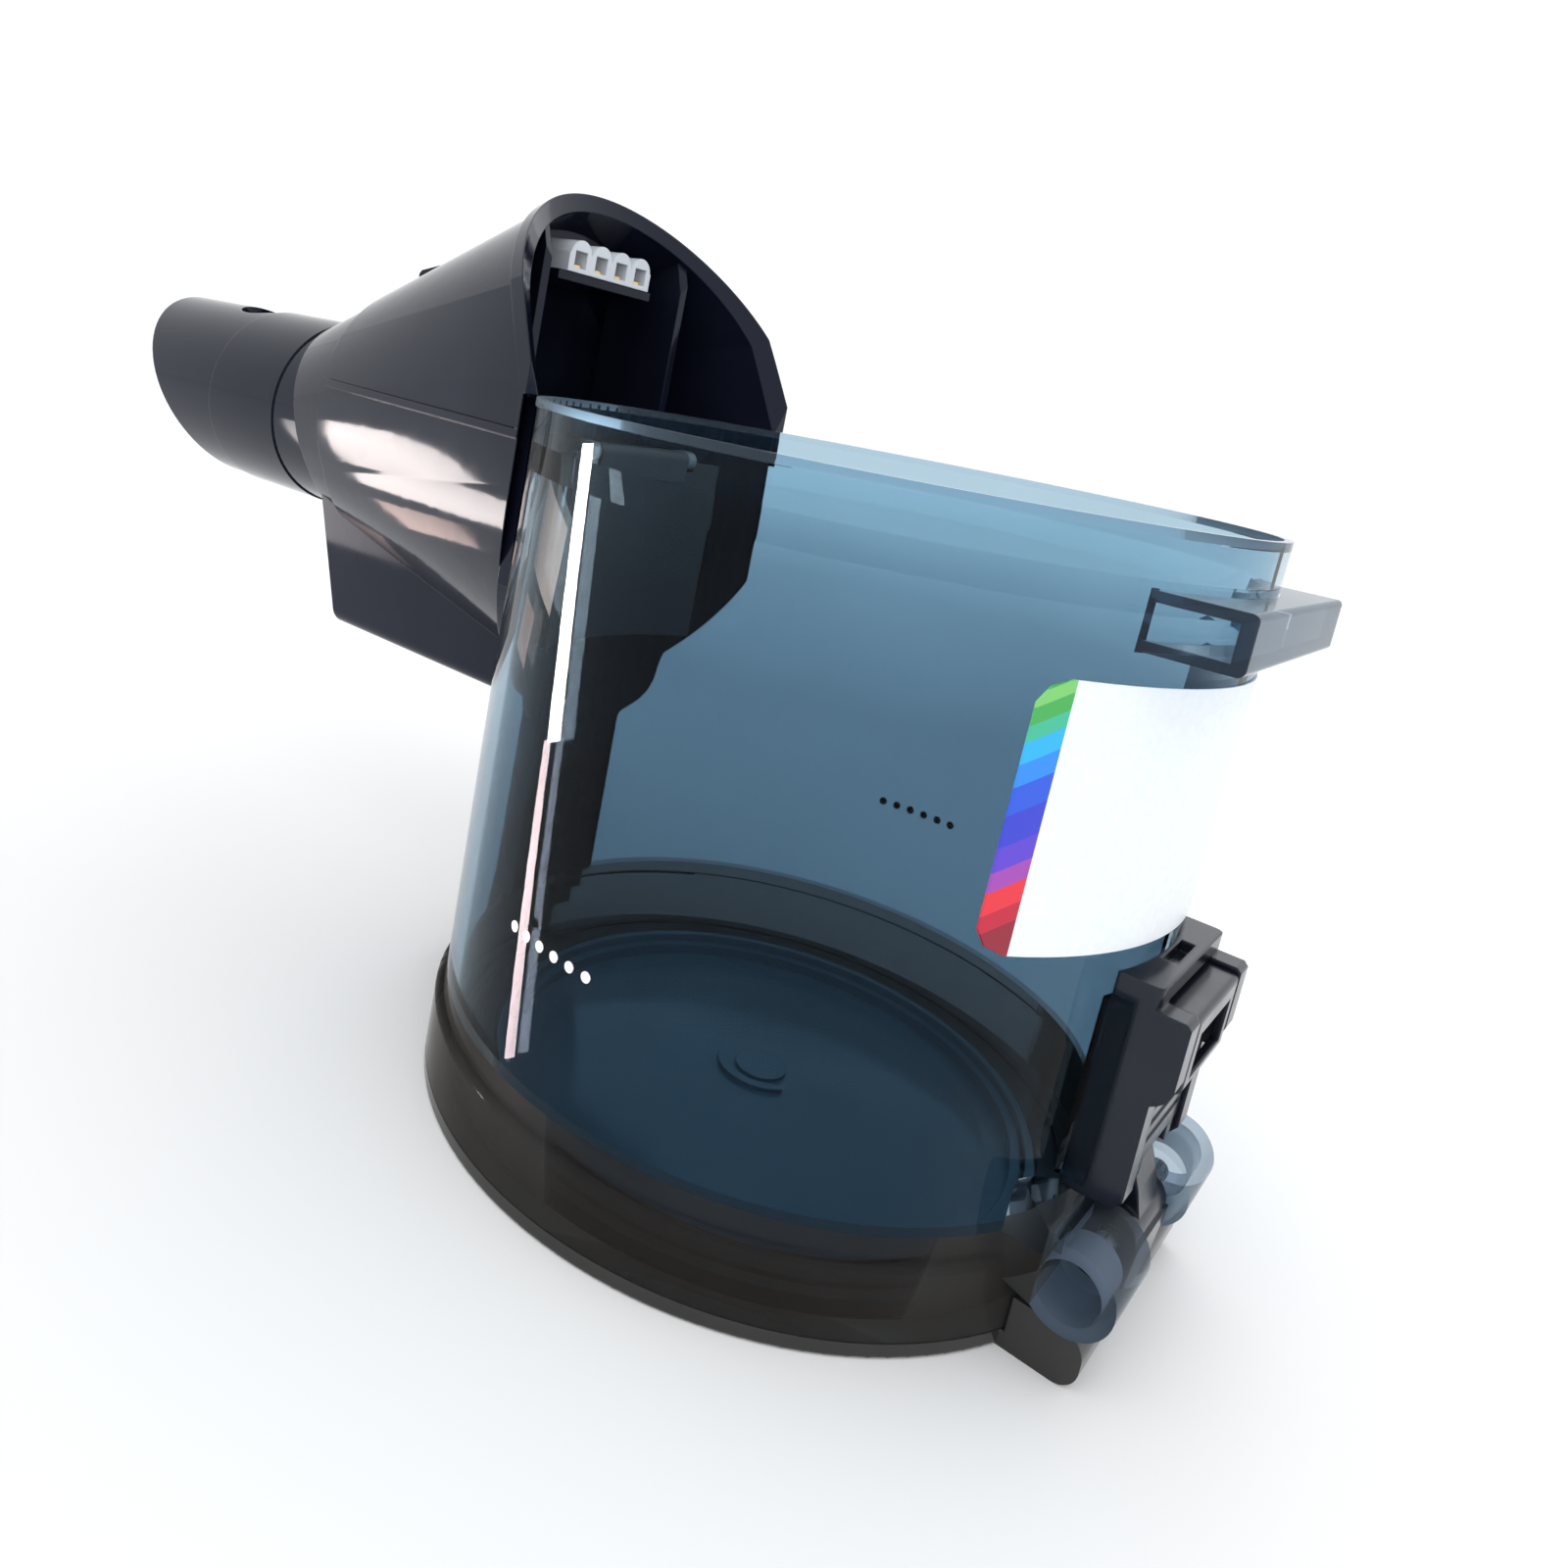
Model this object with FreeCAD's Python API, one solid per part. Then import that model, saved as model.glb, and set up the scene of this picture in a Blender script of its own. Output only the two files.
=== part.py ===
import FreeCAD, Part
import math
import os

V = FreeCAD.Vector

# Dust cup of a stick vacuum. Millimetres. Z is the cup axis, z=0 the flat underside of the lid.
# The inlet duct points along -X, the release latch and the lug are on +X.

# cup
cup_h = 104.0
cup_r_top = 54.0
cup_r_low = 53.2
wall_t = 2.2
lip_h = 6.0
lip_t = 1.1
skirt_r = cup_r_low + 1.4
skirt_top = 12.5
cup_z0 = 2.4

# lug on the rear
lug_half = 26.0
lug_x = cup_r_top + 4.2
lug_z0 = 90.0
lug_z1 = 97.0
lug_t = 1.3

# label
label_half_deg = 41.0
label_z0 = 53.0
label_z1 = 86.0
label_t = 0.25

# level marks
mark_r = 0.75
mark_z = 36.3

# lid
lid_t = 2.2
lid_ring_r = skirt_r - 12.6
seal_in = skirt_r - 10.6
seal_out = skirt_r - 4.4
seal_top = 4.2
hinge_x = -(skirt_r + 5.4)
hinge_z = 6.2
hinge_r = 3.3
hinge_pin_r = 1.5
hinge_half = 6.0
hinge_arm = 3.4

# wand tube
tube_z = 90.0
tube_r = 19.5
tube_bore = 17.3
tube_tip = -(cup_r_top + 140.0)
tube_tip_low = -(cup_r_top + 109.0)
tube_r_end = 19.2
tube_bore_end = 17.5
band_x0 = -(cup_r_top + 101.0)
band_x1 = -(cup_r_top + 77.0)
wand_hole_x = -(cup_r_top + 109.5)
wand_hole_r = 7.5

# duct body and hood
neck_x = band_x1
neck_r = 19.9
neck_step = 0.65
pass_x = -(cup_r_top + 58.0)
body_x = -(cup_r_low - 10.2)
body_w = 34.5
body_top = 148.0
body_shoulder = 122.0
belly_r = 35.0
belly_drop = 2.0
skin = 2.2
seam_z = 98.5
hood_x = -(cup_r_top + 56.0)
mouth_r = cup_r_top + 0.2
mouth_k = 0.333

# contact block under the roof
conn_x0 = -(cup_r_top + 18.5)
conn_x1 = -(cup_r_top + 8.5)
conn_z = 125.0

# air passage and wall window
win_half = 18.0
win_z0 = 65.0
win_z1 = 95.0
pass_t = 1.8

# box under the duct
box_x = -(cup_r_top + 52.8)
box_lean = 0.40
box_half = 15.0
box_z = 50.4
flange_half = 18.5

# saddle plate and strip
saddle_t = 2.2
saddle_deg = 37.3
strip_half = 11.5
strip_low = 9.8

# latch housing
hs_half = 14.5
hs_x = cup_r_low + 3.9
hs_top = 50.0
hs_low = 20.8
cheek_x = hs_x + 1.8
cheek_bump = hs_x + 3.9
cheek_z0 = 36.0
cheek_z1 = 47.2
cav_half = 10.4
cav_x = hs_x - 2.5
cav_top = 47.6

# slider
sl_half = 10.0
sl_x0 = cav_x + 0.4
sl_x1 = cav_x + 3.7
sl_top = 46.6
sl_low = 24.6
pad_x = cav_x + 6.4
pad_z0 = 36.4
sl_travel = 4.0
spring_z = 27.4
spring_top = 41.0

# knuckles and catch
kn_x = cup_r_low + 4.1
kn_z = 13.2
kn_r = 5.6
kn_bore = 3.9
kn_in = 9.0
kn_out = 22.5
catch_pin_r = 1.5
catch_hub_r = 3.2
catch_half = 7.0
ledge_x = skirt_r + 1.9
ledge_z = 2.7
block_x = skirt_r + 5.8
block_z = 7.2
block_half = 20.5


def box(x0, y0, z0, x1, y1, z1):
    return Part.makeBox(x1 - x0, y1 - y0, z1 - z0, V(x0, y0, z0))


def cyl(r, p, d, length):
    return Part.makeCylinder(r, length, V(*p), V(*d))


def ycyl(r, x, z, y0, y1):
    return Part.makeCylinder(r, y1 - y0, V(x, y0, z), V(0, 1, 0))


def zring(r1, r0, z0, z1):
    out = Part.makeCylinder(r1, z1 - z0, V(0, 0, z0))
    return out.cut(Part.makeCylinder(r0, z1 - z0 + 2, V(0, 0, z0 - 1)))


def prism_y(pts, y0, y1):
    ring = [V(x, y0, z) for x, z in pts]
    ring.append(ring[0])
    return Part.Face(Part.makePolygon(ring)).extrude(V(0, y1 - y0, 0))


def prism_x(pts, x0, x1):
    ring = [V(x0, y, z) for y, z in pts]
    ring.append(ring[0])
    return Part.Face(Part.makePolygon(ring)).extrude(V(x1 - x0, 0, 0))


def prism_z(pts, z0, z1):
    ring = [V(x, y, z0) for x, y in pts]
    ring.append(ring[0])
    return Part.Face(Part.makePolygon(ring)).extrude(V(0, 0, z1 - z0))


def mirror_y(shape):
    return shape.mirror(V(0, 0, 0), V(0, 1, 0))


def both(shape):
    return shape.fuse(mirror_y(shape))


def wall_r(z):
    return cup_r_low + (cup_r_top - cup_r_low) * z / cup_h


def wall_cone(off, z0, z1):
    return Part.makeCone(wall_r(z0) + off, wall_r(z1) + off, z1 - z0, V(0, 0, z0))


def fuse_all(shapes):
    out = shapes[0]
    for s in shapes[1:]:
        out = out.fuse(s)
    return out.removeSplitter()


def sector(half_deg, r, z0, z1, toward=-1):
    a = math.radians(half_deg)
    n = 8
    pts = [(0.0, 0.0)]
    for i in range(n + 1):
        t = -a + 2 * a * i / n
        pts.append((toward * r * math.cos(t), r * math.sin(t)))
    return prism_z(pts, z0, z1)


def round_edges(shape, r, test):
    picked = [e for e in shape.Edges if test(e)]
    if not picked:
        return shape
    return shape.makeFillet(r, picked)


def along_y(e):
    v = e.Vertexes
    if len(v) != 2:
        return False
    d = v[1].Point.sub(v[0].Point)
    return abs(d.x) < 1e-6 and abs(d.z) < 1e-6


def arc_section(x, w, z_shoulder, z_top, z_side, w_side, z_bottom):
    """Closed wire in the plane x: crown arc, right side, belly arc, left side."""
    a = V(x, -w, z_shoulder)
    b = V(x, w, z_shoulder)
    c = V(x, w_side, z_side)
    d = V(x, -w_side, z_side)
    crown = Part.Arc(a, V(x, 0, z_top), b).toShape()
    right = Part.makeLine(b, c)
    belly = Part.Arc(c, V(x, 0, z_bottom), d).toShape()
    left = Part.makeLine(d, a)
    return Part.Wire([crown, right, belly, left])


def circle_section(x, r, z):
    """The round section cut in the same four edges."""
    t = math.radians(38)
    cy = r * math.cos(t)
    cz = r * math.sin(t)
    a = V(x, -cy, z + cz)
    b = V(x, cy, z + cz)
    c = V(x, cy, z - cz)
    d = V(x, -cy, z - cz)
    crown = Part.Arc(a, V(x, 0, z + r), b).toShape()
    right = Part.Arc(b, V(x, r, z), c).toShape()
    belly = Part.Arc(c, V(x, 0, z - r), d).toShape()
    left = Part.Arc(d, V(x, -r, z), a).toShape()
    return Part.Wire([crown, right, belly, left])


def envelope(off):
    small = circle_section(neck_x, neck_r - off, tube_z)
    big = arc_section(body_x, body_w - off, body_shoulder - 0.5 * off, body_top - 1.1 * off,
                      tube_z, belly_r - off, tube_z - belly_r - belly_drop + 1.05 * off)
    return Part.makeLoft([small, big], True, True)


def mouth_cone(grow=0.0):
    """The solid that the mouth of the hood is cut with: the cup wall up to its rim, flaring above it."""
    low = Part.makeCylinder(mouth_r + grow, cup_h + 60, V(0, 0, -60))
    top_h = 60.0
    high = Part.makeCone(mouth_r + grow, mouth_r + grow + mouth_k * top_h, top_h, V(0, 0, cup_h))
    return low.fuse(high)


def passage(off):
    t = math.radians(38)
    start = circle_section(pass_x - 1.0, tube_bore - 0.3 + off, tube_z)
    w = win_half + off
    z0 = win_z0 - off
    z1 = win_z1 + off
    x = body_x
    s = 5.0
    a = V(x, -w, z1 - s)
    b = V(x, w, z1 - s)
    c = V(x, w, z0 + s)
    d = V(x, -w, z0 + s)
    crown = Part.Arc(a, V(x, 0, z1), b).toShape()
    belly = Part.Arc(c, V(x, 0, z0), d).toShape()
    end = Part.Wire([crown, Part.makeLine(b, c), belly, Part.makeLine(d, a)])
    return Part.makeLoft([start, end], True, True)


def make_cup():
    outer = wall_cone(0, skirt_top - 1.0, cup_h)
    skirt = Part.makeCylinder(skirt_r, skirt_top - cup_z0, V(0, 0, cup_z0))
    skirt = round_edges(skirt, 0.9, lambda e: abs(e.BoundBox.ZMin - skirt_top) < 1e-6 and e.BoundBox.ZLength < 1e-6)
    body = outer.fuse(skirt)
    inner = wall_cone(-wall_t, 0, cup_h + 5)
    body = body.cut(inner)
    lip = Part.makeCylinder(cup_r_top - lip_t, lip_h + 2, V(0, 0, cup_h - lip_h))
    lip_low = Part.makeCone(cup_r_top - wall_t - 0.2, cup_r_top - lip_t, 4.5, V(0, 0, cup_h - lip_h - 4.5))
    body = body.cut(lip).cut(lip_low)
    # inlet window
    body = body.cut(passage(0.0).common(box(-cup_r_top - 16, -60, 0, body_x, 60, cup_h)).fuse(window_prism(0.0)))
    # lug, a hollow loop along the tangent
    core = wall_cone(-0.6, 0, cup_h)
    loop = box(30, -lug_half, lug_z0, lug_x, lug_half, lug_z1)
    loop = round_edges(loop, 0.8, lambda e: abs(e.BoundBox.XMin - lug_x) < 1e-6)
    tunnel = box(20, -lug_half - 2, lug_z0 + lug_t, lug_x - lug_t - 0.3, lug_half + 2, lug_z1 - lug_t)
    loop = loop.cut(tunnel).cut(core)
    mid = box(40, -lug_t / 2, lug_z0 + 0.2, lug_x - 0.4, lug_t / 2, lug_z1 - 0.2).cut(core)
    # wedge brackets and hollow knuckles
    rear = []
    y0 = kn_in
    y1 = kn_out
    wedge = prism_y([(kn_x - 17.3, 23.0), (kn_x - 7.7, 23.0), (kn_x - 2.4, kn_z + 4.6), (kn_x, kn_z),
                     (kn_x - 3.0, kn_z - 4.4), (kn_x - 8.3, kn_z - 3.0), (kn_x - 17.3, kn_z - 3.0)], y0, y1)
    barrel = ycyl(kn_r, kn_x, kn_z, y0, y1)
    part = wedge.fuse(barrel)
    groove = box(kn_x - 3.4, y0 + 1.2, kn_z + 3.2, kn_x - 2.1, y1 - 1.2, kn_z + 9)
    part = part.cut(groove)
    bore = ycyl(kn_bore, kn_x, kn_z, y0 + 5.5, y1 + 1)
    pin_bore = ycyl(catch_pin_r, kn_x, kn_z, y0 - 1, y1)
    part = part.cut(bore).cut(pin_bore).cut(core)
    part = part.cut(box(hs_x - 17.1, -hs_half - 0.2, hs_low - 0.2, 80, hs_half + 0.2, 60))
    rear.append(part)
    rear.append(mirror_y(part))
    body = fuse_all([body, loop, mid] + rear)
    # room for the hub of the catch
    body = body.cut(ycyl(catch_hub_r + 0.4, kn_x, kn_z, -catch_half - 0.5, catch_half + 0.5))
    # guide rails beside the latch housing
    rail = box(hs_x - 12.1, hs_half + 0.1, hs_low + 2, hs_x - 2.7, hs_half + 1.7, hs_top - 3).cut(core)
    body = fuse_all([body, rail, mirror_y(rail)])
    return body


def window_prism(off):
    w = win_half + off
    z0 = win_z0 - off
    z1 = win_z1 + off
    b = box(-cup_r_top - 6, -w, z0, 13.2 - cup_r_low, w, z1)
    return round_edges(b, 4.0, lambda e: len(e.Vertexes) == 2
                       and abs(e.Vertexes[0].Point.x - e.Vertexes[1].Point.x) > 1)


def make_label():
    shell = wall_cone(label_t, label_z0, label_z1).cut(wall_cone(0.03, label_z0 - 1, label_z1 + 1))
    band = shell.common(sector(label_half_deg, 80, label_z0, label_z1, 1))
    y = (wall_r(label_z0)) * math.sin(math.radians(label_half_deg))
    pts = [(-y, label_z0 + 3), (-y + 1, label_z0 + 1), (-y + 3, label_z0), (y - 3, label_z0),
           (y - 1, label_z0 + 1), (y, label_z0 + 3), (y, label_z1 - 3), (y - 1, label_z1 - 1),
           (y - 3, label_z1), (-y + 3, label_z1), (-y + 1, label_z1 - 1), (-y, label_z1 - 3)]
    return band.common(prism_x(pts, 20, 70))


def make_marks():
    out = []
    for side in (1, -1):
        for i in range(6):
            a = math.radians(side * (88.4 + 3.05 * i))
            d = V(math.cos(a), math.sin(a), 0)
            r = wall_r(mark_z)
            p = d * (r - 0.35)
            out.append(Part.makeCylinder(mark_r, 0.45, V(p.x, p.y, mark_z), d))
    body = Part.makeCompound(out)
    return body.cut(wall_cone(0.0, 0, cup_h))


def make_lid():
    plate = Part.makeCylinder(skirt_r, lid_t, V(0, 0, 0))
    plate = round_edges(plate, 0.6, lambda e: e.BoundBox.ZMax < 1e-6 and e.BoundBox.ZLength < 1e-6)
    # dished floor: the underside stays flat, the top sinks to a ring and rises to a low cone
    sink = Part.makeCylinder(lid_ring_r, 2.0, V(0, 0, 1.2))
    plate = plate.cut(sink)
    cone = Part.makeCone(lid_ring_r - 2.5, 8.0, 2.4, V(0, 0, 1.0))
    plate = plate.fuse(cone)
    bead = zring(lid_ring_r + 0.2, lid_ring_r - 1.4, 1.0, 3.2)
    boss = zring(7.2, 5.6, 3.0, 4.2).cut(box(-20, -3.4, 0, 20, 20, 10))
    hub = Part.makeCylinder(4.2, 1.0, V(0, 0, 3.0))
    # a raised wall that centres the seal
    step = zring(seal_in - 0.2, lid_ring_r + 0.4, 1.5, seal_top + 0.3)
    # hinge leaf at the front
    arm = box(hinge_x, -hinge_half, hinge_z - hinge_r, hinge_x + 10, hinge_half, hinge_z - hinge_r + hinge_arm)
    arm = arm.cut(Part.makeCylinder(skirt_r + 0.5, 30, V(0, 0, lid_t)))
    barrel = ycyl(hinge_r, hinge_x, hinge_z, -hinge_half, hinge_half)
    root = prism_y([(hinge_x - 1.5, hinge_z - hinge_r + 0.2), (hinge_x + 3.0, hinge_z), (hinge_x + 5.8, lid_t),
                    (hinge_x + 10, lid_t), (hinge_x + 10, 0.0), (hinge_x + 3.0, 0.0)], -hinge_half, hinge_half)
    root = root.cut(Part.makeCylinder(skirt_r + 0.5, 30, V(0, 0, lid_t)))
    pin = ycyl(hinge_pin_r + 0.08, hinge_x, hinge_z, -30, 30)
    # block at the rear that the catch holds
    rear = box(skirt_r - 9.6, -block_half, 0, block_x, block_half, block_z)
    rear = round_edges(rear, 3.0, lambda e: along_y(e) and abs(e.BoundBox.XMin - block_x) < 1e-6)
    rear = rear.cut(Part.makeCylinder(skirt_r + 0.45, 30, V(0, 0, lid_t)))
    gap = box(ledge_x, -catch_half - 0.6, -1, block_x + 5, catch_half + 0.6, block_z + 2)
    under = box(ledge_x - 2.2, -catch_half - 0.6, -1, block_x + 5, catch_half + 0.6, ledge_z)
    lid = fuse_all([plate, bead, boss, hub, step, arm, barrel, root, rear])
    lid = lid.cut(pin).cut(gap).cut(under)
    for y in (-14.0, 14.0):
        lid = lid.cut(box(block_x - 3.2, y - 3.6, -1, block_x - 1.4, y + 3.6, block_z - 1.6))
    return lid


def make_seal():
    ring = zring(seal_out, seal_in, lid_t, seal_top)
    groove = zring(seal_out - 1.8, seal_out - 2.8, seal_top - 0.8, seal_top + 1)
    return ring.cut(groove)


def make_hinge_pin():
    half = hinge_half + 3.4
    pin = ycyl(hinge_pin_r, hinge_x, hinge_z, -half, half)
    return pin


def slant_cutter():
    z_hi = tube_z + tube_r
    z_lo = tube_z - tube_r
    dx = tube_tip_low - tube_tip
    k = dx / (z_hi - z_lo)
    zt = z_hi + 10
    zb = z_lo - 10
    pts = [(tube_tip - 10 * k, zt), (tube_tip - 60, zt), (tube_tip - 60, zb), (tube_tip_low + 10 * k, zb)]
    return prism_y(pts, -40, 40)


def front_cutter():
    """Everything in front of the slanted edge of the neck."""
    edge = [(-2.8, 30.0), (1.0, 21.5), (7.0, 8.0), (10.5, -2.0), (12.8, -12.0), (14.0, -22.0), (14.4, -35.0),
            (-39.0, -35.0), (-39.0, 30.0)]
    return prism_y([(neck_x + x, tube_z + z) for x, z in edge], -40, 40)


def box_prism(x0, y, z0, z1, x1):
    """Box below the duct, its open end leans outwards to the top."""
    pts = [(x0, z0), (x1, z0), (x1, z1), (x0 - box_lean * (z1 - z0), z1)]
    return prism_y(pts, -y, y)


def make_duct():
    outer = envelope(0.0)
    inner = envelope(skin)
    back = box(neck_x - 5, -40, 40, hood_x, 40, 140)
    # lower half of the body
    low = outer.common(box(hood_x, -80, 0, 0, 80, seam_z)).cut(inner)
    # solid neck in front of it, a little smaller
    neck = envelope(neck_step).common(box(neck_x, -80, 0, hood_x, 80, 160)).cut(front_cutter())
    wall = outer.common(box(hood_x, -80, 0, hood_x + 1.6, 80, seam_z))
    tube = Part.makeCylinder(tube_r_end, hood_x - tube_tip, V(tube_tip, 0, tube_z), V(1, 0, 0))
    tube = tube.cut(slant_cutter())
    band = Part.makeCylinder(tube_r, band_x1 - band_x0, V(band_x0, 0, tube_z), V(1, 0, 0))
    pas = passage(pass_t)
    # box under the duct
    fin = box_prism(box_x, box_half, box_z, tube_z - 12, body_x - 3)
    fin = round_edges(fin, 2.5, lambda e: abs(e.BoundBox.ZMin - box_z) < 1e-6 and abs(e.BoundBox.ZMax - box_z) < 1e-6
                      and e.BoundBox.YLength < 1e-6)
    fin = fin.cut(inner.cut(back))
    # flange along the seam for the hood screws
    tabs = []
    for y in (-1, 1):
        tabs.append(box(-cup_r_top - 38, min(y * 17, y * 40), seam_z - 3.2, -cup_r_top - 25, max(y * 17, y * 40), seam_z))
    tabs = fuse_all(tabs).common(envelope(0.5))
    rib = box(hood_x + 2, -1.0, 50, -cup_r_top - 2, 1.0, seam_z - 6).common(envelope(1.0))
    # raised line along the seam
    ridge = envelope(-0.8).cut(envelope(0.4)).common(box(hood_x + 3, -80, seam_z - 1.4, 0, 80, seam_z))
    body = fuse_all([low, neck, wall, tube, band, pas, fin, rib, tabs, ridge])
    body = body.cut(passage(0.0))
    body = body.cut(Part.makeCylinder(tube_bore, pass_x - band_x0, V(band_x0, 0, tube_z), V(1, 0, 0)))
    body = body.cut(Part.makeCylinder(tube_bore_end, band_x0 - tube_tip + 2, V(tube_tip - 2, 0, tube_z), V(1, 0, 0)))
    body = body.cut(box_hollow())
    hole = Part.makeCylinder(wand_hole_r, 40, V(wand_hole_x, 0, tube_z), V(0, 0, 1))
    body = body.cut(hole)
    for x, y in screw_spots():
        body = body.cut(Part.makeCylinder(1.1, 6, V(x, y, seam_z - 5)))
    body = body.cut(saddle_zone())
    return body.cut(mouth_cone(0.0))


def box_hollow():
    y = box_half - 2
    return box(box_x - 12, -y, box_z + 2, box_x + 18, y, box_z + 11.5).fuse(
        box(box_x + 17, -y, box_z + 2, -cup_r_top - 6, y, box_z + 9.0))


def screw_spots():
    return [(-cup_r_top - 34, -21.2), (-cup_r_top - 34, 21.2)]


def saddle_zone():
    return wall_cone(saddle_t, 0, cup_h).fuse(Part.makeCylinder(mouth_r, cup_h, V(0, 0, 0)))


def make_hood():
    outer = envelope(0.0)
    inner = envelope(skin)
    shell = outer.cut(inner)
    keep = box(hood_x, -80, seam_z, 0, 80, 170)
    shell = shell.common(keep)
    shell = shell.cut(mouth_cone(0.0))
    bead = envelope(-0.9).cut(envelope(0.2)).common(keep)
    bead = bead.common(mouth_cone(2.6)).cut(mouth_cone(0.0))
    bump = prism_y([(hood_x + 1.3, 112), (hood_x + 1.6, 121.6), (hood_x + 2.2, 122.3), (hood_x + 9.5, 124.2),
                    (hood_x + 15.0, 122.6), (hood_x + 15.0, 112)], -5, 5)
    bump = bump.cut(envelope(neck_step - 0.05))
    # ledges for the screws
    tabs = []
    for s in (-1, 1):
        tabs.append(box(-cup_r_top - 38, min(s * 17, s * 45), seam_z, -cup_r_top - 25, max(s * 17, s * 45), seam_z + 2.4))
    tabs = fuse_all(tabs).common(envelope(0.5))
    # two upright ribs and the bracket behind the connector
    ribs = []
    for s in (-1, 1):
        ribs.append(box(-cup_r_top - 24, s * 18.6 - 0.9, seam_z, -cup_r_top - 6, s * 18.6 + 0.9, 140))
    ribs = fuse_all(ribs).common(envelope(0.5)).cut(mouth_cone(1.0))
    wall = box(-cup_r_top - 30, -30, seam_z, -cup_r_top - 28.2, 30, 150).common(envelope(0.5))
    bracket = box(-cup_r_top - 30, -12.5, conn_z - 1.6, conn_x1 - 0.5, 12.5, conn_z)
    bracket = bracket.fuse(box(conn_x0 - 2.0, -12.5, conn_z - 1.0, conn_x0, 12.5, conn_z + 12.0))
    bracket = bracket.common(envelope(1.0))
    body = fuse_all([shell, bead, bump, tabs, ribs, wall, bracket])
    body = body.cut(saddle_zone()).cut(passage(pass_t + 0.05))
    for x, y in screw_spots():
        body = body.cut(Part.makeCylinder(1.6, 12, V(x, y, seam_z - 5)))
    return body


def make_hood_screws():
    out = []
    for x, y in screw_spots():
        head = Part.makeCylinder(2.7, 1.5, V(x, y, seam_z + 2.4))
        shank = Part.makeCylinder(1.1, 6.6, V(x, y, seam_z - 4.2))
        cross = box(x - 1.8, y - 0.35, seam_z + 3.1, x + 1.8, y + 0.35, seam_z + 5)
        cross = cross.fuse(box(x - 0.35, y - 1.8, seam_z + 3.1, x + 0.35, y + 1.8, seam_z + 5))
        out.append(head.fuse(shank).cut(cross))
    return Part.makeCompound(out)


def make_saddle():
    shell = wall_cone(saddle_t, 5, cup_h - 0.5).cut(wall_cone(0, 4, cup_h))
    top_y = wall_r(cup_h) * math.sin(math.radians(saddle_deg))
    pts = [(top_y, cup_h - 0.5), (top_y, tube_z)]
    deep = belly_r + belly_drop
    rad = (belly_r ** 2 + deep ** 2) / (2 * deep) + 0.4
    mid_z = tube_z - deep + rad - 0.4
    start = math.acos(min(1.0, top_y / rad))
    stop = math.acos((flange_half + 1.0) / rad)
    for i in range(15):
        t = start + (stop - start) * i / 14.0
        pts.append((rad * math.cos(t), mid_z - rad * math.sin(t)))
    pts.append((flange_half + 0.4, box_z + 6.0))
    pts.append((flange_half, box_z + 2.8))
    pts.append((flange_half - 1.0, box_z + 0.4))
    pts.append((flange_half - 2.6, box_z - 1.4))
    pts.append((flange_half - 4.8, box_z - 2.8))
    pts.append((strip_half + 0.6, box_z - 3.6))
    pts.append((strip_half, box_z - 4.6))
    pts.append((strip_half, strip_low))
    full = pts + [(-y, z) for y, z in reversed(pts)]
    plate = shell.common(prism_x(full, -80, -20))
    plate = plate.cut(Part.makeCylinder(skirt_r + 0.05, 14, V(0, 0, 0)))
    rim_r = wall_r(40) + saddle_t
    ribs = []
    for s in (-1, 1):
        ribs.append(box(-rim_r - 3.4, s * (strip_half - 0.8) - 0.8, strip_low + 2, 3.2 - cup_r_low,
                        s * (strip_half - 0.8) + 0.8, box_z - 0.5))
    ribs = fuse_all(ribs).cut(wall_cone(0.5, 0, cup_h)).cut(Part.makeCylinder(skirt_r + 0.05, 14, V(0, 0, 0)))
    ears = []
    for s in (-1, 1):
        y0 = hinge_half + 0.3
        y1 = hinge_half + 3.4
        ear = ycyl(hinge_r, hinge_x, hinge_z, y0, y1)
        web = prism_y([(hinge_x - hinge_r, hinge_z), (hinge_x - 1.5, 15.0), (hinge_x + 8, 19.0), (hinge_x + 8, hinge_z + 1.0),
                       (hinge_x + hinge_r, hinge_z)], y0, y1)
        one = ear.fuse(web)
        one = one.cut(Part.makeCylinder(skirt_r + 0.05, 14, V(0, 0, 0))).cut(wall_cone(0, 0, cup_h))
        if s < 0:
            one = mirror_y(one)
        ears.append(one)
    bridge = prism_y([(hinge_x - 1.5, 15.0), (hinge_x + 8, 19.0), (hinge_x + 8, 13.0), (hinge_x + 0.5, 12.0)],
                     -hinge_half - 1, hinge_half + 1)
    bridge = bridge.cut(wall_cone(0, 0, cup_h)).cut(Part.makeCylinder(skirt_r + 0.05, 13, V(0, 0, 0)))
    body = fuse_all([plate, ribs, bridge] + ears)
    body = body.cut(ycyl(hinge_pin_r, hinge_x, hinge_z, -30, 30))
    body = body.cut(window_prism(2.6))
    for z in strip_screw_z():
        r = wall_r(z) + saddle_t
        body = body.cut(Part.makeCylinder(1.1, 8, V(-r - 1, 0, z), V(1, 0, 0)))
    return body


def strip_screw_z():
    return (26.0, 42.0)


def make_strip_screws():
    out = []
    for z in strip_screw_z():
        r = wall_r(z) + saddle_t
        head = Part.makeCylinder(2.7, 1.3, V(-r - 1.35, 0, z), V(1, 0, 0))
        shank = Part.makeCylinder(1.1, saddle_t + 0.6, V(-r - 0.4, 0, z), V(1, 0, 0))
        cross = box(-r - 2, -1.7, z - 0.35, -r - 0.7, 1.7, z + 0.35)
        cross = cross.fuse(box(-r - 2, -0.35, z - 1.7, -r - 0.7, 0.35, z + 1.7))
        out.append(head.fuse(shank).cut(cross).cut(wall_cone(0, 0, cup_h)))
    return Part.makeCompound(out)


def make_gasket():
    frame = wall_cone(saddle_t, 40, cup_h).cut(wall_cone(0, 39, cup_h + 1))
    ring = window_prism(2.6).cut(window_prism(0.0))
    return frame.common(ring)


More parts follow.
